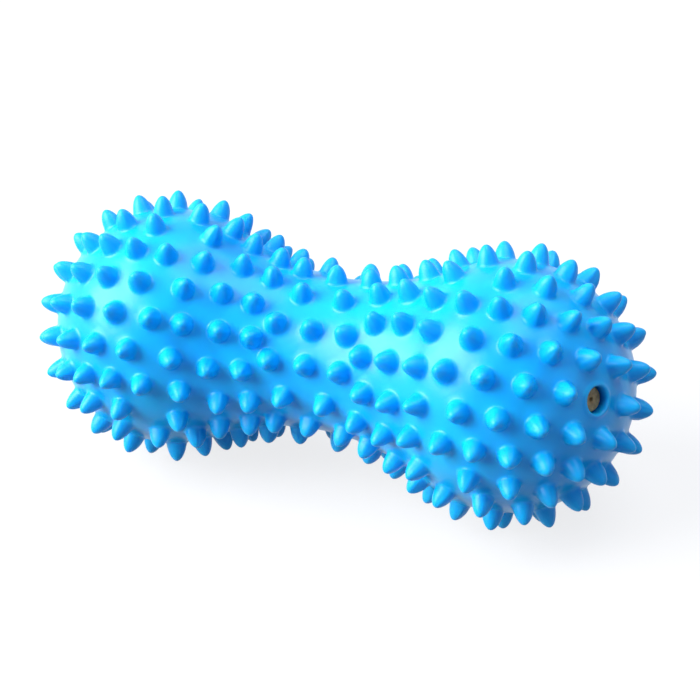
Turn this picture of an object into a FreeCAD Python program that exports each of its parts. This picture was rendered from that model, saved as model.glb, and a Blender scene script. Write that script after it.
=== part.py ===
import FreeCAD, Part
import Sketcher
import math
import os
import sys
from FreeCAD import Placement, Rotation, Vector

# A spiked massage ball in the shape of a peanut: one hollow shell of soft PVC, moulded with
# its spikes, and the rubber needle plug that closes its filling hole.
#
# The ball lies on its side. Its long axis is parallel to X with the filling hole at the +X
# end, Z is up, and the origin is on the floor under its middle. Each piece is first drawn
# about the long axis with its middle spike lane on top, and is then turned about that axis
# and lifted to where it rests.

SIZES = (
    ("lobe_radius", 30.6, "radius of the two round lobes, without spikes"),
    ("lobe_offset", 45.2, "from the middle of the ball to the middle of a lobe"),
    ("waist_radius", 19.4, "radius at the waist, without spikes"),
    ("wall", 2.6, "thickness of the shell"),
    ("spike_height", 4.8, "how far a spike stands out of the shell"),
    ("spike_foot", 2.9, "from a spike's axis to its flats where it leaves the shell"),
    ("spike_shoulder", 1.6, "from a spike's axis to its flats where its tip begins"),
    ("spike_tip", 0.75, "from a spike's axis to its flats at its blunt end"),
    ("spike_tip_height", 1.15, "height of the spike's tip, which narrows faster than its flanks"),
    ("spike_root", 1.2, "how deep a spike is drawn into the wall"),
    ("lane_angle", 15.6, "between two lanes of spikes, seen from the middle of a lobe"),
    ("row_angle", 17.4, "between two spikes of a lane, seen from the middle of a lobe"),
    ("lobe_edge_angle", 107.0, "from a lobe's end to where its own lanes stop"),
    ("outer_ring", 32.5, "from the waist to the ring where the lobe begins, along the shell"),
    ("middle_ring", 23.4, "from the waist to the ring half way up the neck"),
    ("inner_ring", 15.3, "from the waist to the first ring of the neck"),
    ("ring_stagger", 0.9, "how far every second spike of a ring is set back or forward"),
    ("waist_pitch", 9.3, "between two spikes of a long waist lane"),
    ("valve_bore", 3.5, "radius of the filling hole"),
    ("valve_recess", 2.4, "from the mouth of the filling hole to the plug's face"),
    ("valve_neck_wall", 2.5, "wall of the neck that holds the plug inside the ball"),
    ("valve_neck_length", 10.0, "from the mouth of the filling hole to the neck's inner end"),
    ("plug_clearance", 0.1, "between the plug and its bore"),
    ("plug_head_height", 1.6, "thickness of the plug's head inside the ball"),
    ("plug_head_rim", 1.4, "how far the plug's head reaches past the bore"),
    ("needle_hole", 0.6, "radius of the plug's needle hole"),
    ("needle_depth", 6.0, "depth of the plug's needle hole"),
    ("rest_turn", 55.4, "from straight up to the middle spike lane, about the long axis"),
)

OUTER_RING_SPIKES = 20
NECK_RING_SPIKES = 16
WAIST_LANES = 14
THIRD_LANE_SPIKES = 14
FOURTH_LANE_SPIKES = 9
FIFTH_LANE_SPIKES = 3

doc = FreeCAD.newDocument("peanut_massage_ball")


def make_sheet():
    """The driving sizes, in millimetres and degrees, each under its own name."""
    sheet = doc.addObject("Spreadsheet::Sheet", "Sizes")
    for row, (alias, value, meaning) in enumerate(SIZES, start=1):
        sheet.set(f"A{row}", alias)
        sheet.set(f"B{row}", str(value))
        sheet.set(f"C{row}", meaning)
        sheet.setAlias(f"B{row}", alias)
    doc.recompute()
    return sheet


sheet = make_sheet()


def size(alias):
    return float(sheet.get(alias))


def value_of(expression):
    """The value of a sum of sizes, or zero where there is none."""
    return float(sheet.evalExpression(expression.replace("Sizes.", ""))) if expression else 0.0


class Peanut:
    """The shell's outline: two round lobes and a neck that is one arc tangent to both."""

    def __init__(self, inset=0.0):
        self.offset = size("lobe_offset")
        lobe = size("lobe_radius")
        waist = size("waist_radius")
        neck = (self.offset ** 2 + waist ** 2 - lobe ** 2) / (2 * (lobe - waist))
        self.neck_turn = math.asin(self.offset / (neck + lobe))
        self.neck_centre = waist + neck
        self.lobe = lobe - inset
        self.neck = neck + inset
        self.neck_length = self.neck * self.neck_turn

    def joint(self):
        """Where the neck meets a lobe, as distance along the axis and radius."""
        along = self.offset - self.lobe * math.sin(self.neck_turn)
        return along, self.lobe * math.cos(self.neck_turn)

    def waist_point(self):
        return 0.0, self.neck_centre - self.neck

    def at_distance(self, distance):
        """Station and radius at a distance from the waist along the shell, and the normal."""
        way = abs(distance)
        side = 1.0 if distance >= 0 else -1.0
        if way < self.neck_length:
            turn = way / self.neck
            along = self.neck * math.sin(turn)
            radius = self.neck_centre - self.neck * math.cos(turn)
            normal = (-math.sin(turn), math.cos(turn))
        else:
            turn = math.pi / 2 + self.neck_turn - (way - self.neck_length) / self.lobe
            along = self.offset + self.lobe * math.cos(turn)
            radius = self.lobe * math.sin(turn)
            normal = (math.cos(turn), math.sin(turn))
        return side * along, radius, (side * normal[0], normal[1])


def shell_spot(peanut, distance, turn):
    """A point on the shell and the shell's normal there; turn is measured from the top."""
    along, radius, (normal_along, normal_out) = peanut.at_distance(distance)
    outward = Vector(0, math.sin(turn), math.cos(turn))
    return Vector(along, 0, 0) + outward * radius, Vector(normal_along, 0, 0) + outward * normal_out


def lobe_lane_longitudes(lane):
    """Where the spikes of one lobe lane lie around the lobe, in degrees from its end."""
    row = size("row_angle")
    rank = abs(lane)
    if rank <= 2:
        shift = 0.5 if rank == 1 else 0.0
        reach = int(180 / row)
        steps = [step + shift for step in range(-reach - 1, reach + 1)]
        return [step * row for step in steps if abs(step * row) < 180]
    count, shift = {
        3: (THIRD_LANE_SPIKES, 0.5),
        4: (FOURTH_LANE_SPIKES, 0.0),
        5: (FIFTH_LANE_SPIKES, 0.5),
    }[rank]
    return [(step + shift) * 360 / count for step in range(count)]


def valve_direction():
    """The filling hole takes the place of the second spike of the middle lane."""
    longitude = math.radians(2 * size("row_angle"))
    return Vector(math.cos(longitude), 0, math.sin(longitude))


def lobe_spikes(peanut, side):
    """Lanes run along the ball, in planes that fan out from the middle of the lobe."""
    centre = Vector(side * peanut.offset, 0, 0)
    edge = math.cos(math.radians(size("lobe_edge_angle")))
    spots = []
    for lane in range(-5, 6):
        latitude = math.radians(lane * size("lane_angle"))
        for longitude in map(math.radians, lobe_lane_longitudes(lane)):
            along = math.cos(latitude) * math.cos(longitude)
            normal = Vector(side * along, math.sin(latitude), math.cos(latitude) * math.sin(longitude))
            on_valve = side > 0 and normal.getAngle(valve_direction()) < math.radians(5)
            if along > edge and not on_valve:
                spots.append((centre + normal * peanut.lobe, normal))
    return spots


def ring_spikes(peanut, side):
    """Three rings climb the neck from the waist to the lobe."""
    stagger = size("ring_stagger")
    rings = (
        (size("outer_ring"), OUTER_RING_SPIKES),
        (size("middle_ring"), NECK_RING_SPIKES),
        (size("inner_ring"), NECK_RING_SPIKES),
    )
    spots = []
    for distance, count in rings:
        for step in range(count):
            set_back = -stagger if step % 2 == 0 else stagger
            turn = 2 * math.pi * step / count
            spots.append(shell_spot(peanut, side * (distance + set_back), turn))
    return spots


def waist_spikes(peanut):
    """Around the waist, lanes of three spikes stand between lanes of two."""
    pitch = size("waist_pitch")
    spots = []
    for lane in range(WAIST_LANES):
        turn = 2 * math.pi * (lane + 0.5) / WAIST_LANES
        from_top = min(lane, WAIST_LANES - 1 - lane)
        steps = (-1.0, 0.0, 1.0) if from_top % 2 == 0 else (-0.6, 0.6)
        spots += [shell_spot(peanut, step * pitch, turn) for step in steps]
    return spots


def all_spikes():
    peanut = Peanut()
    spots = waist_spikes(peanut)
    for side in (1, -1):
        spots += lobe_spikes(peanut, side) + ring_spikes(peanut, side)
    return spots


def origin_plane(body, role):
    return next(item for item in body.Origin.OriginFeatures if item.Role == role)


def new_sketch(body, name):
    """An empty sketch in the plane of the long axis and straight up."""
    sketch = body.newObject("Sketcher::SketchObject", name)
    sketch.AttachmentSupport = [(origin_plane(body, "XZ_Plane"), "")]
    sketch.MapMode = "FlatFace"
    return sketch


def bind(sketch, name, constraint, expression):
    """Adds a constraint under a name and ties its value to the sheet."""
    sketch.addConstraint(constraint)
    sketch.renameConstraint(sketch.ConstraintCount - 1, name)
    sketch.setExpression(f"Constraints.{name}", expression)


def peanut_sketch(body, name, wall_share):
    """Half of the peanut's outline over the axis: the skin, or one wall further in."""
    peanut = Peanut(wall_share * size("wall"))
    sketch = new_sketch(body, name)
    up = Vector(0, 0, 1)
    quarter = math.pi / 2
    turn = peanut.neck_turn
    end = peanut.offset + peanut.lobe
    centres = (Vector(-peanut.offset, 0, 0), Vector(0, peanut.neck_centre, 0), Vector(peanut.offset, 0, 0))
    radii = (peanut.lobe, peanut.neck, peanut.lobe)
    sweeps = ((quarter - turn, 2 * quarter), (3 * quarter - turn, 3 * quarter + turn), (0, quarter + turn))
    for centre, radius, (first, last) in zip(centres, radii, sweeps):
        sketch.addGeometry(Part.ArcOfCircle(Part.Circle(centre, up, radius), first, last), False)
    sketch.addGeometry(Part.LineSegment(Vector(-end, 0, 0), Vector(end, 0, 0)), False)
    sketch.addGeometry(Part.Point(Vector(0, peanut.neck_centre - peanut.neck, 0)), True)
    left, neck, right, axis, waist = range(5)
    begin, finish, middle = 1, 2, 3
    h_axis, v_axis = -1, -2
    origin = (h_axis, begin)
    for constraint in (
        ("Tangent", left, begin, neck, begin),
        ("Tangent", neck, finish, right, finish),
        ("Coincident", axis, begin, left, finish),
        ("Coincident", axis, finish, right, begin),
        ("PointOnObject", axis, begin, h_axis),
        ("PointOnObject", axis, finish, h_axis),
        ("PointOnObject", left, middle, h_axis),
        ("PointOnObject", right, middle, h_axis),
        ("PointOnObject", waist, begin, neck),
        ("PointOnObject", waist, begin, v_axis),
    ):
        sketch.addConstraint(Sketcher.Constraint(*constraint))
    under = f" - {wall_share} * Sizes.wall"
    for lobe, name in ((left, "left_radius"), (right, "right_radius")):
        bind(sketch, name, Sketcher.Constraint("Radius", lobe, peanut.lobe), "Sizes.lobe_radius" + under)
    bind(
        sketch,
        "left_offset",
        Sketcher.Constraint("DistanceX", left, middle, *origin, peanut.offset),
        "Sizes.lobe_offset",
    )
    bind(
        sketch,
        "right_offset",
        Sketcher.Constraint("DistanceX", *origin, right, middle, peanut.offset),
        "Sizes.lobe_offset",
    )
    waist_radius = peanut.neck_centre - peanut.neck
    bind(
        sketch,
        "waist_radius",
        Sketcher.Constraint("DistanceY", *origin, waist, begin, waist_radius),
        "Sizes.waist_radius" + under,
    )
    return sketch


def along_valve(depth):
    """Placement with +Z along the filling hole's axis, a depth below its mouth."""
    out = valve_direction()
    centre = Vector(size("lobe_offset"), 0, 0)
    return Placement(centre + out * (size("lobe_radius") - depth), Rotation(Vector(0, 0, 1), out))


def make_shell_blank():
    """The hollow peanut without spikes, with the neck inside that holds the plug."""
    body = doc.addObject("PartDesign::Body", "ShellBlank")
    outline = peanut_sketch(body, "ShellOutline", 0)
    turned = body.newObject("PartDesign::Revolution", "ShellTurned")
    turned.Profile = outline
    turned.ReferenceAxis = (outline, ["H_Axis"])
    turned.Angle = 360
    doc.recompute()
    hollow = peanut_sketch(body, "CavityOutline", 1)
    cavity = body.newObject("PartDesign::Groove", "Cavity")
    cavity.Profile = hollow
    cavity.ReferenceAxis = (hollow, ["H_Axis"])
    cavity.Angle = 360
    doc.recompute()
    neck = body.newObject("PartDesign::AdditiveCylinder", "ValveNeck")
    neck.setExpression("Radius", "Sizes.valve_bore + Sizes.valve_neck_wall")
    neck.setExpression("Height", "Sizes.valve_neck_length - Sizes.wall / 2")
    neck.Placement = along_valve(size("valve_neck_length"))
    doc.recompute()
    bore = body.newObject("PartDesign::SubtractiveCylinder", "ValveBore")
    bore.setExpression("Radius", "Sizes.valve_bore")
    bore.setExpression("Height", "Sizes.valve_neck_length + 2 * Sizes.wall")
    bore.Placement = along_valve(size("valve_neck_length") + size("wall"))
    body.Tip = bore
    doc.recompute()
    return body


def add_taper(name, turn, root, tip):
    """A four-sided taper along Z, from half its width at the spike's root to half at its top."""
    taper = doc.addObject("Part::Wedge", name)
    sizes = {"Ymin": "-Sizes.spike_root", "Ymax": "Sizes.spike_height"}
    for across in ("X", "Z"):
        sizes[f"{across}min"] = f"-({root})"
        sizes[f"{across}max"] = root
        sizes[f"{across}2min"] = f"-({tip})"
        sizes[f"{across}2max"] = tip
    for dimension, expression in sizes.items():
        taper.setExpression(dimension, expression)
    upright = Rotation(Vector(1, 0, 0), 90)
    taper.Placement = Placement(Vector(), upright.multiply(Rotation(Vector(0, 1, 0), turn)))
    return taper


def make_spike():
    """One spike on Z, with the skin at height zero: eight flanks, and a tip that narrows faster.

    It is what four four-sided tapers have in common, two for the flanks and two for the tip.
    """
    flank = "(Sizes.spike_height - Sizes.spike_tip_height)"
    flank_slope = f"(Sizes.spike_foot - Sizes.spike_shoulder) / {flank}"
    flank_root = f"Sizes.spike_foot + Sizes.spike_root * {flank_slope}"
    flank_top = f"Sizes.spike_shoulder - Sizes.spike_tip_height * {flank_slope}"
    tip_slope = "(Sizes.spike_shoulder - Sizes.spike_tip) / Sizes.spike_tip_height"
    tip_root = f"Sizes.spike_tip + (Sizes.spike_height + Sizes.spike_root) * {tip_slope}"
    tapers = [
        add_taper("FlankTaper", 0, flank_root, flank_top),
        add_taper("FlankTaperTurned", 45, flank_root, flank_top),
        add_taper("TipTaper", 0, tip_root, "Sizes.spike_tip"),
        add_taper("TipTaperTurned", 45, tip_root, "Sizes.spike_tip"),
    ]
    spike = doc.addObject("Part::MultiCommon", "Spike")
    spike.Shapes = tapers
    doc.recompute()
    return spike


def make_spike_field(spike):
    """Every spike of the ball, each standing square on the shell."""
    copies = []
    for spot, normal in all_spikes():
        copy = spike.Shape.copy()
        copy.Placement = Placement(spot, Rotation(Vector(0, 0, 1), normal)).multiply(copy.Placement)
        copies.append(copy)
    field = doc.addObject("Part::Feature", "SpikeField")
    field.Shape = Part.makeCompound(copies)
    return field


def rest_placement(field):
    """Turned about the long axis and lifted until the lowest spikes stand on the floor."""
    turn = Rotation(Vector(1, 0, 0), size("rest_turn"))
    lowest = min(turn.multVec(corner.Point).z for corner in field.Shape.Vertexes)
    return Placement(Vector(0, 0, -lowest), turn)


def make_shell(blank, field, rest):
    shell = doc.addObject("Part::Fuse", "PeanutShell")
    shell.Base = blank
    shell.Tool = field
    shell.Label = "peanut_shell"
    shell.Placement = rest
    return shell


def plug_sketch(body):
    """Half of the plug's section: a shank, and a head under the neck's inner end."""
    sketch = new_sketch(body, "PlugSection")
    shank = "Sizes.valve_bore - Sizes.plug_clearance"
    head = "Sizes.valve_bore + Sizes.plug_head_rim"
    face = "-Sizes.valve_recess"
    seat = "-Sizes.valve_neck_length"
    end = "-Sizes.valve_neck_length - Sizes.plug_head_height"
    needle = "Sizes.needle_hole"
    floor = "-Sizes.valve_recess - Sizes.needle_depth"
    corners = (("", end), (head, end), (head, seat), (shank, seat), (shank, face))
    corners += ((needle, face), (needle, floor), ("", floor))
    points = [Vector(value_of(out), value_of(up), 0) for out, up in corners]
    begin, finish = 1, 2
    h_axis, v_axis = -1, -2
    for start, stop in zip(points, points[1:] + points[:1]):
        sketch.addGeometry(Part.LineSegment(start, stop), False)
    for side in range(len(corners)):
        after = (side + 1) % len(corners)
        sketch.addConstraint(Sketcher.Constraint("Coincident", side, finish, after, begin))
    for corner, (point, (out, up)) in enumerate(zip(points, corners)):
        if out:
            reach = Sketcher.Constraint("DistanceX", h_axis, begin, corner, begin, point.x)
            bind(sketch, f"out_{corner}", reach, out)
        else:
            sketch.addConstraint(Sketcher.Constraint("PointOnObject", corner, begin, v_axis))
        height = Sketcher.Constraint("DistanceY", h_axis, begin, corner, begin, point.y)
        bind(sketch, f"up_{corner}", height, up)
    return sketch


def make_plug(rest):
    body = doc.addObject("PartDesign::Body", "ValvePlug")
    section = plug_sketch(body)
    turned = body.newObject("PartDesign::Revolution", "PlugTurned")
    turned.Profile = section
    turned.ReferenceAxis = (section, ["V_Axis"])
    turned.Angle = 360
    body.Tip = turned
    body.Label = "valve_plug"
    body.Placement = rest.multiply(along_valve(0.0))
    return body


def check(pieces):
    """Stops when a feature failed or a piece is not a sound solid."""
    for item in doc.Objects:
        if "Invalid" in item.State or "Error" in item.State:
            sys.exit(f"{item.Name} failed: {item.State}")
    for piece in pieces:
        shape = piece.Shape
        if shape.isNull() or not shape.isValid() or len(shape.Solids) != 1:
            sys.exit(f"{piece.Label} is not one sound solid")


spike_field = make_spike_field(make_spike())
rest = rest_placement(spike_field)
shell = make_shell(make_shell_blank(), spike_field, rest)
plug = make_plug(rest)
doc.recompute()
pieces = (shell, plug)
check(pieces)
os.makedirs("parts", exist_ok=True)
for piece in pieces:
    piece.Shape.exportStep(f"parts/{piece.Label}.step")
    corners = [corner.Point for corner in piece.Shape.Vertexes]
    reach = [max(point[way] for point in corners) - min(point[way] for point in corners) for way in range(3)]
    print(piece.Label, "volume", round(piece.Shape.Volume), "faces", len(piece.Shape.Faces))
    print("  across its corners", [round(value, 2) for value in reach])
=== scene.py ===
import bmesh
import bpy
import math
import numpy as np
from mathutils import Matrix, Vector
from mathutils.geometry import delaunay_2d_cdt


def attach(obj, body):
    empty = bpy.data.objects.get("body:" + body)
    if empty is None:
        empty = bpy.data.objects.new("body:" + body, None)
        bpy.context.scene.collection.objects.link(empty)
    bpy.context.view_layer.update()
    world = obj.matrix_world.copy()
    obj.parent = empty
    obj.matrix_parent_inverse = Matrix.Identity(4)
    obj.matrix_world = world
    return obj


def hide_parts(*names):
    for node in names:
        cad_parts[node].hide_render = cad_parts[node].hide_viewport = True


# A peanut massage ball of soft blue vinyl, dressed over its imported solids.
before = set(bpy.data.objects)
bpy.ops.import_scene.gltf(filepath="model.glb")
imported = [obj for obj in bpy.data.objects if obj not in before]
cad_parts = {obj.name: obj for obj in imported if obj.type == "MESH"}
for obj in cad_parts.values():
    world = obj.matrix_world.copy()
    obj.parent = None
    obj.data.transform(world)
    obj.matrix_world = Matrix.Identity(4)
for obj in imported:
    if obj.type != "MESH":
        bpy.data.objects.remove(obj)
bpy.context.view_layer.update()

# The peanut's sizes, in metres and degrees, as the solids have them.
LOBE_RADIUS = 0.0306
LOBE_OFFSET = 0.0452
WAIST_RADIUS = 0.0194
OUTERMOST_LANE = 5
LANE_ANGLE = 15.6
ROW_ANGLE = 17.4
LOBE_EDGE_ANGLE = 107.0
OUTER_RING = 0.0325
MIDDLE_RING = 0.0234
INNER_RING = 0.0153
RING_STAGGER = 0.0009
WAIST_PITCH = 0.0093
WAIST_PAIR_STEP = 0.6
VALVE_ROW = 2
REST_TURN = 55.4
AXIS_HEIGHT = 0.03512
OUTER_RING_SPIKES = 20
NECK_RING_SPIKES = 16
WAIST_LANES = 14
THIRD_LANE_SPIKES = 14
FOURTH_LANE_SPIKES = 9
FIFTH_LANE_SPIKES = 3

# A spike's form: a fillet at its foot, then a blunt ogive, drawn by rings at these places.
# It is a little taller and slimmer than the solids' spike, which has flat flanks and tip.
SPIKE_HEIGHT = 0.0049
SPIKE_FOOT = 0.00265
FOOT_FILLET = 0.0008
FILLET_TURNS = (0, 26, 56, 90)
OGIVE_SHARES = (0.40, 0.57, 0.72, 0.84, 0.925, 0.978)
OGIVE_RISE = 1.5
OGIVE_BLUNTNESS = 0.52

# How uneven the cast spikes are. The swells, each a number of folds and a depth, and the
# pleats start at a share of the height, grow over another, and fade by a third at the tip.
SPIKE_SWELLS = ((2, 0.045), (3, 0.045), (5, 0.025))
PLEAT_DEPTH = 0.17
UNEVEN_FROM = 0.04
UNEVEN_OVER = 0.25
UNEVEN_FADE = 0.35
HEIGHT_SCATTER = 0.045
WAIST_SHORTFALL = 0.07
TIP_LEAN = 0.00032
LEAN_CURVE = 1.5
DRAW_SEED = 11

# How finely the moulded surface is drawn.
SPIKE_SEGMENTS = 22
VALVE_SEGMENTS = 48
SKIN_PITCH = 0.0010
FOOT_CLEARANCE = 0.6 * SKIN_PITCH

# The camera, by the fit of the photograph.
CAMERA_AIM = Vector((0.00325, 0.00197, 0.03590))
CAMERA_AZIMUTH = 23.25
CAMERA_ELEVATION = 31.13
CAMERA_ROLL = -2.40
CAMERA_DISTANCE = 0.370
CAMERA_LENS = 75.43
CAMERA_SENSOR = 36.0

# The studio: what its lamps aim at, the floor's grey, and what makes it white to the camera.
LAMP_AIM = (0, 0, 0.037)
FLOOR_HALF_WIDTH = 4.0
FLOOR_GREY = 0.17
BACKGROUND_LEVEL = 0.80


class Skin:
    """The peanut's skin: two round lobes and a neck that is one arc tangent to both.

    A place on it is a distance from the waist along the skin and a turn about the long
    axis from the top.
    """

    def __init__(self):
        offset, lobe, waist = LOBE_OFFSET, LOBE_RADIUS, WAIST_RADIUS
        self.neck = (offset ** 2 + waist ** 2 - lobe ** 2) / (2 * (lobe - waist))
        self.neck_turn = math.asin(offset / (self.neck + lobe))
        self.neck_centre = waist + self.neck
        self.neck_length = self.neck * self.neck_turn
        self.joint_angle = math.pi / 2 + self.neck_turn
        self.length = self.neck_length + lobe * self.joint_angle

    def at(self, distance, turn):
        """Points and normals, with the long axis along X and nothing turned yet."""
        way = np.abs(distance)
        side = np.where(distance < 0, -1.0, 1.0)
        bend = way / self.neck
        polar = self.joint_angle - (way - self.neck_length) / LOBE_RADIUS
        on_neck = way < self.neck_length
        lobe_along = LOBE_OFFSET + LOBE_RADIUS * np.cos(polar)
        lobe_out = LOBE_RADIUS * np.sin(polar)
        along = np.where(on_neck, self.neck * np.sin(bend), lobe_along)
        out = np.where(on_neck, self.neck_centre - self.neck * np.cos(bend), lobe_out)
        normal_along = np.where(on_neck, -np.sin(bend), np.cos(polar))
        normal_out = np.where(on_neck, np.cos(bend), np.sin(polar))
        outward = np.stack([np.zeros_like(turn), np.sin(turn), np.cos(turn)], axis=-1)
        axis = np.array([1.0, 0.0, 0.0])
        points = (side * along)[..., None] * axis + out[..., None] * outward
        normals = (side * normal_along)[..., None] * axis + normal_out[..., None] * outward
        return points, normals

    def nearest(self, points):
        """The distance and turn of the skin's nearest place to each point."""
        along = np.abs(points[..., 0])
        out = np.hypot(points[..., 1], points[..., 2])
        side = np.where(points[..., 0] < 0, -1.0, 1.0)
        polar = np.arctan2(out, along - LOBE_OFFSET)
        bend = np.arctan2(along, self.neck_centre - out)
        on_lobe = self.neck_length + LOBE_RADIUS * (self.joint_angle - polar)
        distance = np.where(polar > self.joint_angle, self.neck * bend, on_lobe)
        return side * distance, np.arctan2(points[..., 1], points[..., 2])

    def flat(self, distance, turn):
        """The skin laid out in a plane with every angle kept, the -X end at the origin."""
        way = np.abs(distance)
        side = np.where(distance < 0, -1.0, 1.0)
        centre, neck = self.neck_centre, self.neck
        pull = 2 * neck / math.sqrt(centre ** 2 - neck ** 2)
        lift = math.sqrt((centre + neck) / (centre - neck))
        bend = np.minimum(way, self.neck_length) / neck
        stretch = pull * np.arctan(lift * np.tan(bend / 2))
        polar = self.joint_angle - np.maximum(way - self.neck_length, 0.0) / LOBE_RADIUS
        stretch += math.log(math.tan(self.joint_angle / 2)) - np.log(np.tan(polar / 2))
        reach = np.exp(side * stretch)
        return np.stack([reach * np.cos(turn), reach * np.sin(turn)], axis=-1)


skin = Skin()


def lane_longitudes(lane):
    """Where the spikes of one lobe lane lie around the lobe, in degrees from its end.

    The five middle lanes keep the row angle, two of them half a step aside. The outer lanes
    spread a whole number of spikes evenly.
    """
    rank = abs(lane)
    if rank <= 2:
        shift = 0.5 if rank == 1 else 0.0
        reach = int(180 / ROW_ANGLE)
        steps = [step + shift for step in range(-reach - 1, reach + 1)]
        return [step * ROW_ANGLE for step in steps if abs(step * ROW_ANGLE) < 180]
    count, shift = {
        3: (THIRD_LANE_SPIKES, 0.5),
        4: (FOURTH_LANE_SPIKES, 0.0),
        5: (FIFTH_LANE_SPIKES, 0.5),
    }[rank]
    return [(step + shift) * 360 / count for step in range(count)]


def valve_direction():
    """The filling hole takes the place of the second spike of the middle lane."""
    longitude = math.radians(VALVE_ROW * ROW_ANGLE)
    return np.array([math.cos(longitude), 0.0, math.sin(longitude)])


def lobe_spikes(side):
    """The spikes of one lobe's own lanes, as distance and turn."""
    edge = math.cos(math.radians(LOBE_EDGE_ANGLE))
    on_valve_edge = math.cos(math.radians(ROW_ANGLE / 3))
    centre = np.array([side * LOBE_OFFSET, 0.0, 0.0])
    spots = []
    for lane in range(-OUTERMOST_LANE, OUTERMOST_LANE + 1):
        latitude = math.radians(lane * LANE_ANGLE)
        for longitude in map(math.radians, lane_longitudes(lane)):
            along = math.cos(latitude) * math.cos(longitude)
            out = math.cos(latitude) * math.sin(longitude)
            normal = np.array([side * along, math.sin(latitude), out])
            on_valve = side > 0 and normal @ valve_direction() > on_valve_edge
            if along > edge and not on_valve:
                spots.append(skin.nearest(centre + normal * LOBE_RADIUS))
    return spots


def ring_spikes(side):
    """Three rings climb the neck from the waist to the lobe."""
    rings = (
        (OUTER_RING, OUTER_RING_SPIKES),
        (MIDDLE_RING, NECK_RING_SPIKES),
        (INNER_RING, NECK_RING_SPIKES),
    )
    spots = []
    for distance, count in rings:
        for step in range(count):
            set_back = -RING_STAGGER if step % 2 == 0 else RING_STAGGER
            spots.append((side * (distance + set_back), 2 * math.pi * step / count))
    return spots


def waist_spikes():
    """Around the waist, lanes of three spikes stand between lanes of two."""
    spots = []
    for lane in range(WAIST_LANES):
        turn = 2 * math.pi * (lane + 0.5) / WAIST_LANES
        from_top = min(lane, WAIST_LANES - 1 - lane)
        steps = (-1.0, 0.0, 1.0) if from_top % 2 == 0 else (-WAIST_PAIR_STEP, WAIST_PAIR_STEP)
        spots += [(step * WAIST_PITCH, turn) for step in steps]
    return spots


def tangents(normals):
    """Two directions square to each normal and to each other.

    The first is square to X too, or to Y where the normal lies near X.
    """
    helper = np.where(np.abs(normals[..., :1]) < 0.8, [[1.0, 0.0, 0.0]], [[0.0, 1.0, 0.0]])
    first = np.cross(helper, normals)
    first /= np.linalg.norm(first, axis=-1, keepdims=True)
    return first, np.cross(normals, first)


def ogive(share):
    """A spike's radius as a share of its foot's, at a share of its height."""
    return (1 - share ** OGIVE_RISE) ** OGIVE_BLUNTNESS


def spike_profile():
    """Radius and height of a spike's rings from its foot to near its tip.

    The foot is a fillet that leaves the skin level, and the rest is a blunt ogive.
    """
    rings = []
    foot_top = SPIKE_FOOT * ogive(FOOT_FILLET / SPIKE_HEIGHT)
    for turn in map(math.radians, FILLET_TURNS):
        inward = FOOT_FILLET * math.sin(turn)
        rings.append((foot_top + FOOT_FILLET - inward, FOOT_FILLET * (1 - math.cos(turn))))
    for share in OGIVE_SHARES:
        rings.append((SPIKE_FOOT * ogive(share), SPIKE_HEIGHT * share))
    return np.array(rings)


SPIKE_PROFILE = spike_profile()
FOOT_REACH = SPIKE_PROFILE[0, 0]

# The mouth of the filling hole: a low moulded lip, the bore, and the seat of the plug's head.
VALVE_PROFILE = np.array([
    (0.00480, 0.0),
    (0.00440, 0.00006),
    (0.00405, 0.00024),
    (0.00365, 0.00036),
    (0.00338, 0.00026),
    (0.00322, -0.00003),
    (0.00316, -0.00030),
    (0.00318, -0.00075),
    (0.00332, -0.00150),
    (0.00350, -0.00240),
    (0.00350, -0.01003),
    (0.00500, -0.01003),
    (0.00500, -0.01172),
    (0.00200, -0.01172),
])


def site_rings(spots, profile, segments):
    """Rings of points around each site, each as far over the skin as the profile says.

    Gives an array of sites, rings, segments and coordinates, the foot rings' places on the
    skin, and each site's point, normal and directions around it.
    """
    distance, turn = np.array(spots).T
    points, normals = skin.at(distance, turn)
    first, second = tangents(normals)
    angles = (2 * math.pi * np.arange(segments) / segments)[None, :, None]
    around = np.cos(angles) * first[:, None] + np.sin(angles) * second[:, None]
    radii = profile[None, :, 0, None, None]
    heights = profile[None, :, 1, None, None]
    under = points[:, None, None] + radii * around[:, None]
    places = skin.nearest(under)
    on_skin, _ = skin.at(*places)
    rings = on_skin + heights * normals[:, None, None]
    return rings, (places[0][:, 0], places[1][:, 0]), points, normals, around


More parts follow.
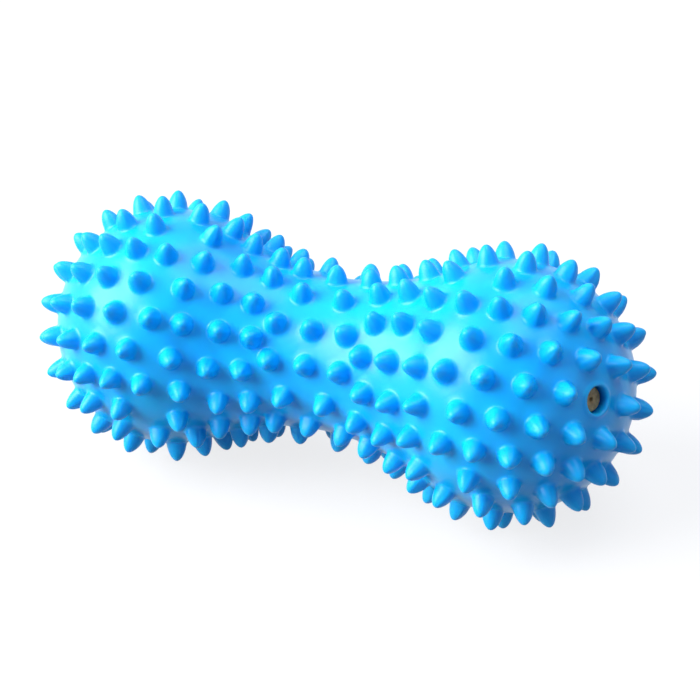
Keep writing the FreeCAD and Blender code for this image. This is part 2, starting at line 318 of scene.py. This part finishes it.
def spike_rings(spots):
    """The spikes' rings and tips, each spike a little uneven, as cast ones are.

    The swells and pleats start just over the foot, which stays on the skin, and thin out
    towards the tip.
    """
    rings, feet, points, normals, around = site_rings(spots, SPIKE_PROFILE, SPIKE_SEGMENTS)
    draw = np.random.default_rng(DRAW_SEED)
    count = len(spots)
    rise = SPIKE_PROFILE[:, 1] / SPIKE_HEIGHT
    loose = np.clip((rise - UNEVEN_FROM) / UNEVEN_OVER, 0.0, 1.0) * (1.0 - UNEVEN_FADE * rise)
    angles = 2 * math.pi * np.arange(SPIKE_SEGMENTS) / SPIKE_SEGMENTS
    swell = np.zeros((count, SPIKE_SEGMENTS))
    for folds, amount in SPIKE_SWELLS:
        phase = draw.uniform(0, 2 * math.pi, (count, 1))
        strength = draw.uniform(0.2, 1.0, (count, 1)) * amount
        swell += strength * np.cos(folds * angles[None] + phase)
    pleats = draw.uniform(-1.0, 1.0, (count, SPIKE_SEGMENTS))
    swell += PLEAT_DEPTH * draw.uniform(0.0, 1.0, (count, 1)) ** 2 * pleats
    push = SPIKE_PROFILE[None, :, 0, None] * loose[None, :, None] * swell[:, None, :]
    rings = rings + push[..., None] * around[:, None]
    on_waist = np.abs(np.array(spots)[:, 0]) < (INNER_RING + MIDDLE_RING) / 2
    shortfall = draw.uniform(0.0, HEIGHT_SCATTER, count) + WAIST_SHORTFALL * on_waist
    shorter = shortfall[:, None, None, None] * (SPIKE_PROFILE[:, 1] * rise)[None, :, None, None]
    rings = rings - shorter * normals[:, None, None]
    first, second = tangents(normals)
    lean_turn = draw.uniform(0, 2 * math.pi, (count, 1))
    lean_way = np.cos(lean_turn) * first + np.sin(lean_turn) * second
    lean = draw.uniform(0.0, TIP_LEAN, (count, 1)) * lean_way
    rings = rings + (rise ** LEAN_CURVE)[None, :, None, None] * lean[:, None, None]
    top = SPIKE_HEIGHT * (1.0 - shortfall[:, None])
    tips = points + top * normals + lean
    return rings, feet, tips


def bare_skin_places(spots, valve):
    """Evenly spread places of the skin clear of the spikes' feet, as distance and turn."""
    distances, turns = [], []
    rows = round(2 * skin.length / (SKIN_PITCH * math.sin(math.pi / 3)))
    for row in range(1, rows):
        distance = -skin.length + 2 * skin.length * row / rows
        point, _ = skin.at(np.array(distance), np.array(0.0))
        count = max(round(2 * math.pi * point[2] / SKIN_PITCH), 6)
        steps = (np.arange(count) + 0.5 * (row % 2)) / count
        turns.append(2 * math.pi * steps)
        distances.append(np.full(count, distance))
    distances, turns = np.concatenate(distances), np.concatenate(turns)
    points, _ = skin.at(distances, turns)
    centres, _ = skin.at(*np.array(spots + [valve]).T)
    reach = np.array([FOOT_REACH] * len(spots) + [VALVE_PROFILE[0, 0]]) + FOOT_CLEARANCE
    clear = np.ones(len(points), dtype=bool)
    for centre, far in zip(centres, reach):
        clear &= np.linalg.norm(points - centre, axis=1) > far
    return distances[clear], turns[clear]


def ring_faces(rings, tip=None):
    """Quads between successive rings of vertex numbers, and a fan or a cap at the end."""
    faces = []
    for low, high in zip(rings[:-1], rings[1:]):
        faces += np.stack([low, np.roll(low, -1), np.roll(high, -1), high], axis=1).tolist()
    last = rings[-1]
    if tip is None:
        faces.append(last.tolist())
    else:
        following = np.roll(last, -1).tolist()
        faces += [[start, stop, tip] for start, stop in zip(last.tolist(), following)]
    return faces


def web_faces(distance, turn, owner):
    """Triangles over the bare skin and up to the sites' feet, found in the flat layout.

    The owner is the number of the site whose foot a place is on, or -1 on bare skin. A
    triangle whose corners are all on one foot lies inside it and is left out.
    """
    flat = [Vector(place) for place in skin.flat(distance, turn).tolist()]
    same_place = 1e-7
    _, _, triangles, origins, _, _ = delaunay_2d_cdt(flat, [], [], 0, same_place, True)
    origin = [numbers[0] for numbers in origins]
    faces = np.array([[origin[corner] for corner in face] for face in triangles])
    owners = owner[faces]
    inside = (owners[:, 0] >= 0) & (owners[:, 0] == owners[:, 1]) & (owners[:, 1] == owners[:, 2])
    return faces[~inside].tolist()


def build_skin():
    """The whole moulded surface, one closed mesh: skin, spikes and the plug's pocket.

    Gives its coordinates, its faces, and how high up its spike each point is, from 0 to 1.
    """
    spots = waist_spikes()
    for side in (1, -1):
        spots += lobe_spikes(side) + ring_spikes(side)
    valve = skin.nearest(np.array([LOBE_OFFSET, 0.0, 0.0]) + valve_direction() * LOBE_RADIUS)
    rings, feet, tips = spike_rings(spots)
    pocket, mouth, *_ = site_rings([valve], VALVE_PROFILE, VALVE_SEGMENTS)
    bare = bare_skin_places(spots, valve)
    bare_points, _ = skin.at(*bare)
    count, levels, segments = rings.shape[:3]
    numbers = np.arange(rings[..., 0].size).reshape(count, levels, segments)
    pocket_numbers = numbers.size + np.arange(pocket[0, ..., 0].size).reshape(pocket.shape[1:3])
    tip_numbers = numbers.size + pocket_numbers.size + np.arange(count)
    bare_numbers = tip_numbers[-1] + 1 + np.arange(len(bare_points))
    coordinates = np.concatenate([rings.reshape(-1, 3), pocket.reshape(-1, 3), tips, bare_points])
    web_numbers = np.concatenate([numbers[:, 0].ravel(), pocket_numbers[0], bare_numbers])
    owner = np.concatenate([
        np.repeat(np.arange(count), segments),
        np.full(VALVE_SEGMENTS, count),
        np.full(len(bare_points), -1),
    ])
    distance = np.concatenate([feet[0].ravel(), mouth[0].ravel(), bare[0]])
    turn = np.concatenate([feet[1].ravel(), mouth[1].ravel(), bare[1]])
    web = web_faces(distance, turn, owner)
    faces = [[int(web_numbers[corner]) for corner in face] for face in web]
    for spike, tip in zip(numbers, tip_numbers.tolist()):
        faces += ring_faces(spike, tip)
    faces += ring_faces(pocket_numbers)
    rise = np.zeros(len(coordinates))
    rise[numbers.ravel()] = np.tile(np.repeat(SPIKE_PROFILE[:, 1] / SPIKE_HEIGHT, segments), count)
    rise[tip_numbers] = 1.0
    return coordinates, faces, rise


def rest_matrix():
    """Turned about the long axis, and lifted by the height of the axis over the floor."""
    turned = Matrix.Rotation(math.radians(REST_TURN), 4, "X")
    return Matrix.Translation((0, 0, AXIS_HEIGHT)) @ turned


def new_piece(name, coordinates, faces, material, slot, *nodes):
    """A smooth mesh that stands for the named CAD nodes and rides with the body."""
    mesh = bpy.data.meshes.new(name)
    mesh.from_pydata([tuple(point) for point in coordinates], [], faces)
    shaped = bmesh.new()
    shaped.from_mesh(mesh)
    bmesh.ops.recalc_face_normals(shaped, faces=shaped.faces)
    shaped.to_mesh(mesh)
    shaped.free()
    mesh.shade_smooth()
    mesh.materials.append(material)
    piece = bpy.data.objects.new(name, mesh)
    bpy.context.collection.objects.link(piece)
    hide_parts(*nodes)
    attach(piece, "root")
    return piece


def new_material(name):
    """A material, its node tree and its shader."""
    material = bpy.data.materials.new(name)
    material.use_nodes = True
    tree = material.node_tree
    return material, tree, tree.nodes["Principled BSDF"]


def add_node(tree, kind, **inputs):
    """A node with some inputs set, an underscore standing for a space in their names."""
    node = tree.nodes.new(kind)
    for name, value in inputs.items():
        node.inputs[name.replace("_", " ")].default_value = value
    return node


def object_noise(tree, **inputs):
    """Noise that stays with the object."""
    place = tree.nodes.new("ShaderNodeTexCoord")
    noise = add_node(tree, "ShaderNodeTexNoise", **inputs)
    tree.links.new(place.outputs["Object"], noise.inputs["Vector"])
    return noise.outputs["Fac"]


def colour_ramp(tree, factor, *stops):
    """A colour that goes from one stop to the other, each a position and a colour."""
    ramp = tree.nodes.new("ShaderNodeValToRGB")
    for element, (position, colour) in zip(ramp.color_ramp.elements, stops):
        element.position = position
        element.color = (*colour, 1)
    tree.links.new(factor, ramp.inputs["Fac"])
    return ramp.outputs["Color"]


def add_bump(tree, shader, height, strength, distance):
    """A fine relief on the shader's surface."""
    bump = add_node(tree, "ShaderNodeBump", Strength=strength, Distance=distance)
    tree.links.new(height, bump.inputs["Height"])
    tree.links.new(bump.outputs["Normal"], shader.inputs["Normal"])


# The colours as linear shares of red, green and blue.
SKIN_DEEP = (0.0005, 0.42, 0.90)
SKIN_BRIGHT = (0.0008, 0.49, 0.93)
SPIKE_CYAN = (0.0006, 0.45, 0.90)
RUBBER_DARK = (0.26, 0.15, 0.05)
RUBBER_PALE = (0.62, 0.40, 0.16)
AMBIENT_BLUE = (0.014, 0.065, 0.20)
COOL_WHITE = (0.80, 0.90, 1.0)


def pvc_material():
    """Glossy, slightly translucent cyan vinyl, faintly clouded, and duller on the spikes."""
    material, tree, shader = new_material("soft_pvc_cyan")
    link = tree.links.new
    rise = tree.nodes.new("ShaderNodeAttribute")
    rise.attribute_name = "spike_rise"
    on_spike = tree.nodes.new("ShaderNodeMapRange")
    on_spike.inputs["From Max"].default_value = 0.25
    on_spike.inputs["To Max"].default_value = 0.85
    link(rise.outputs["Fac"], on_spike.inputs["Value"])

    clouds = object_noise(tree, Scale=45.0, Detail=2.0, Roughness=0.5)
    colour = tree.nodes.new("ShaderNodeMix")
    colour.data_type = "RGBA"
    colour.inputs["B"].default_value = (*SPIKE_CYAN, 1)
    link(on_spike.outputs["Result"], colour.inputs["Factor"])
    link(colour_ramp(tree, clouds, (0.35, SKIN_DEEP), (0.65, SKIN_BRIGHT)), colour.inputs["A"])
    link(colour.outputs["Result"], shader.inputs["Base Color"])

    skin_roughness = tree.nodes.new("ShaderNodeMapRange")
    skin_roughness.inputs["To Min"].default_value = 0.25
    skin_roughness.inputs["To Max"].default_value = 0.36
    link(object_noise(tree, Scale=220.0, Detail=3.0), skin_roughness.inputs["Value"])
    roughness = tree.nodes.new("ShaderNodeMix")
    roughness.inputs["B"].default_value = 0.40
    link(on_spike.outputs["Result"], roughness.inputs["Factor"])
    link(skin_roughness.outputs["Result"], roughness.inputs["A"])
    link(roughness.outputs["Result"], shader.inputs["Roughness"])

    waves = object_noise(tree, Scale=700.0, Detail=4.0, Roughness=0.6)
    add_bump(tree, shader, waves, 0.10, 0.0003)
    shader.inputs["Subsurface Weight"].default_value = 0.5
    shader.inputs["Subsurface Radius"].default_value = (0.10, 0.55, 1.0)
    shader.inputs["Subsurface Scale"].default_value = 0.0020
    shader.inputs["Specular IOR Level"].default_value = 0.27
    shader.inputs["IOR"].default_value = 1.52
    return material


def rubber_material():
    """Matt tan rubber with a fine grain, darker in its worn patches."""
    material, tree, shader = new_material("plug_rubber_tan")
    patches = object_noise(tree, Scale=900.0, Detail=4.0)
    colour = colour_ramp(tree, patches, (0.3, RUBBER_DARK), (0.7, RUBBER_PALE))
    tree.links.new(colour, shader.inputs["Base Color"])
    add_bump(tree, shader, object_noise(tree, Scale=6000.0, Detail=3.0), 0.3, 0.0001)
    shader.inputs["Roughness"].default_value = 0.55
    return material


# The plug's half section from its needle hole outwards, as radius and height over the mouth.
PLUG_PROFILE = np.array([
    (0.00045, -0.0084),
    (0.00045, -0.00225),
    (0.00060, -0.00205),
    (0.00110, -0.00198),
    (0.00145, -0.00210),
    (0.00200, -0.00214),
    (0.00255, -0.00208),
    (0.00285, -0.00222),
    (0.00295, -0.00260),
    (0.00300, -0.00500),
    (0.00340, -0.00560),
    (0.00340, -0.00996),
    (0.00488, -0.01006),
    (0.00488, -0.01158),
    (0.00200, -0.01160),
])


def build_plug():
    """The needle plug, a turned piece with a small collar around its prick hole."""
    out = Vector(valve_direction())
    first = Vector((0, 1, 0))
    second = out.cross(first)
    mouth = Vector((LOBE_OFFSET, 0, 0)) + out * LOBE_RADIUS
    coordinates = []
    for radius, height in PLUG_PROFILE.tolist():
        for step in range(VALVE_SEGMENTS):
            angle = 2 * math.pi * step / VALVE_SEGMENTS
            around = math.cos(angle) * first + math.sin(angle) * second
            coordinates.append(mouth + out * height + radius * around)
    numbers = np.arange(len(coordinates)).reshape(len(PLUG_PROFILE), VALVE_SEGMENTS)
    faces = ring_faces(numbers)
    faces.append(numbers[0][::-1].tolist())
    return coordinates, faces


def make_ball():
    """The two pieces, laid down as the ball rests."""
    rest = rest_matrix()
    coordinates, faces, rise = build_skin()
    placed = [rest @ Vector(point) for point in coordinates.tolist()]
    shell = new_piece("moulded_shell", placed, faces, pvc_material(), "soft_pvc", "peanut_shell")
    attribute = shell.data.attributes.new("spike_rise", "FLOAT", "POINT")
    attribute.data.foreach_set("value", rise)
    coordinates, faces = build_plug()
    placed = [rest @ point for point in coordinates]
    new_piece("needle_plug", placed, faces, rubber_material(), "plug_rubber", "valve_plug")


def area_light(name, place, width, power, colour=(1, 1, 1)):
    """A square soft lamp that faces the ball."""
    lamp = bpy.data.lights.new(name, "AREA")
    lamp.size = width
    lamp.energy = power
    lamp.color = colour
    holder = bpy.data.objects.new(name, lamp)
    holder.location = place
    backward = Vector(place) - Vector(LAMP_AIM)
    holder.rotation_euler = backward.to_track_quat("Z", "Y").to_euler()
    bpy.context.collection.objects.link(holder)


def background_seen(tree):
    """One where the camera, a reflection or a clear body looks at the background."""
    rays = tree.nodes.new("ShaderNodeLightPath")
    seen = rays.outputs["Is Camera Ray"]
    for kind in ("Is Glossy Ray", "Is Transmission Ray"):
        either = tree.nodes.new("ShaderNodeMath")
        either.operation = "MAXIMUM"
        tree.links.new(seen, either.inputs[0])
        tree.links.new(rays.outputs[kind], either.inputs[1])
        seen = either.outputs[0]
    return seen


def make_floor():
    """A plain pale floor, whose own glow makes it white to the camera and to reflections."""
    material, tree, shader = new_material("studio_floor")
    shader.inputs["Base Color"].default_value = (FLOOR_GREY, FLOOR_GREY, FLOOR_GREY, 1)
    shader.inputs["Roughness"].default_value = 0.9
    shader.inputs["Emission Color"].default_value = (1, 1, 1, 1)
    level = tree.nodes.new("ShaderNodeMath")
    level.operation = "MULTIPLY"
    level.inputs[1].default_value = BACKGROUND_LEVEL
    tree.links.new(background_seen(tree), level.inputs[0])
    tree.links.new(level.outputs[0], shader.inputs["Emission Strength"])
    half = FLOOR_HALF_WIDTH
    corners = [(-half, -half, 0), (half, -half, 0), (half, half, 0), (-half, half, 0)]
    mesh = bpy.data.meshes.new("studio_floor")
    mesh.from_pydata(corners, [], [(0, 1, 2, 3)])
    mesh.materials.append(material)
    floor = bpy.data.objects.new("studio_floor", mesh)
    bpy.context.collection.objects.link(floor)


def make_world():
    """A background that is white to the camera and to reflections, and a dim blue fill."""
    world = bpy.data.worlds.new("studio")
    world.use_nodes = True
    bpy.context.scene.world = world
    tree = world.node_tree
    backdrop = tree.nodes.new("ShaderNodeMix")
    backdrop.data_type = "RGBA"
    backdrop.inputs["A"].default_value = (*AMBIENT_BLUE, 1)
    backdrop.inputs["B"].default_value = (1, 1, 1, 1)
    tree.links.new(background_seen(tree), backdrop.inputs["Factor"])
    tree.links.new(backdrop.outputs["Result"], tree.nodes["Background"].inputs["Color"])


def make_studio():
    """The floor, the world, and soft lamps at the upper left front, overhead and at the right."""
    make_floor()
    make_world()
    area_light("key_light", (-0.74, -0.50, 0.66), 0.9, 26)
    area_light("top_light", (0.20, 0.20, 1.10), 0.8, 7)
    area_light("end_light", (0.95, -0.25, 0.25), 0.8, 1.3, COOL_WHITE)


def make_camera():
    """The photograph's view: its place from azimuth and elevation, and a small roll."""
    azimuth, elevation, roll = map(math.radians, (CAMERA_AZIMUTH, CAMERA_ELEVATION, CAMERA_ROLL))
    back = Vector((
        math.sin(azimuth) * math.cos(elevation),
        -math.cos(azimuth) * math.cos(elevation),
        math.sin(elevation),
    ))
    camera = bpy.data.objects.new("camera", bpy.data.cameras.new("camera"))
    camera.data.lens = CAMERA_LENS
    camera.data.sensor_width = CAMERA_SENSOR
    camera.data.clip_start = 0.01
    turned = back.to_track_quat("Z", "Y").to_matrix().to_4x4() @ Matrix.Rotation(roll, 4, "Z")
    camera.matrix_world = Matrix.Translation(CAMERA_AIM + back * CAMERA_DISTANCE) @ turned
    bpy.context.collection.objects.link(camera)
    bpy.context.scene.camera = camera


make_ball()
make_studio()
make_camera()
bpy.context.scene.view_settings.view_transform = "Standard"
bpy.context.view_layer.update()
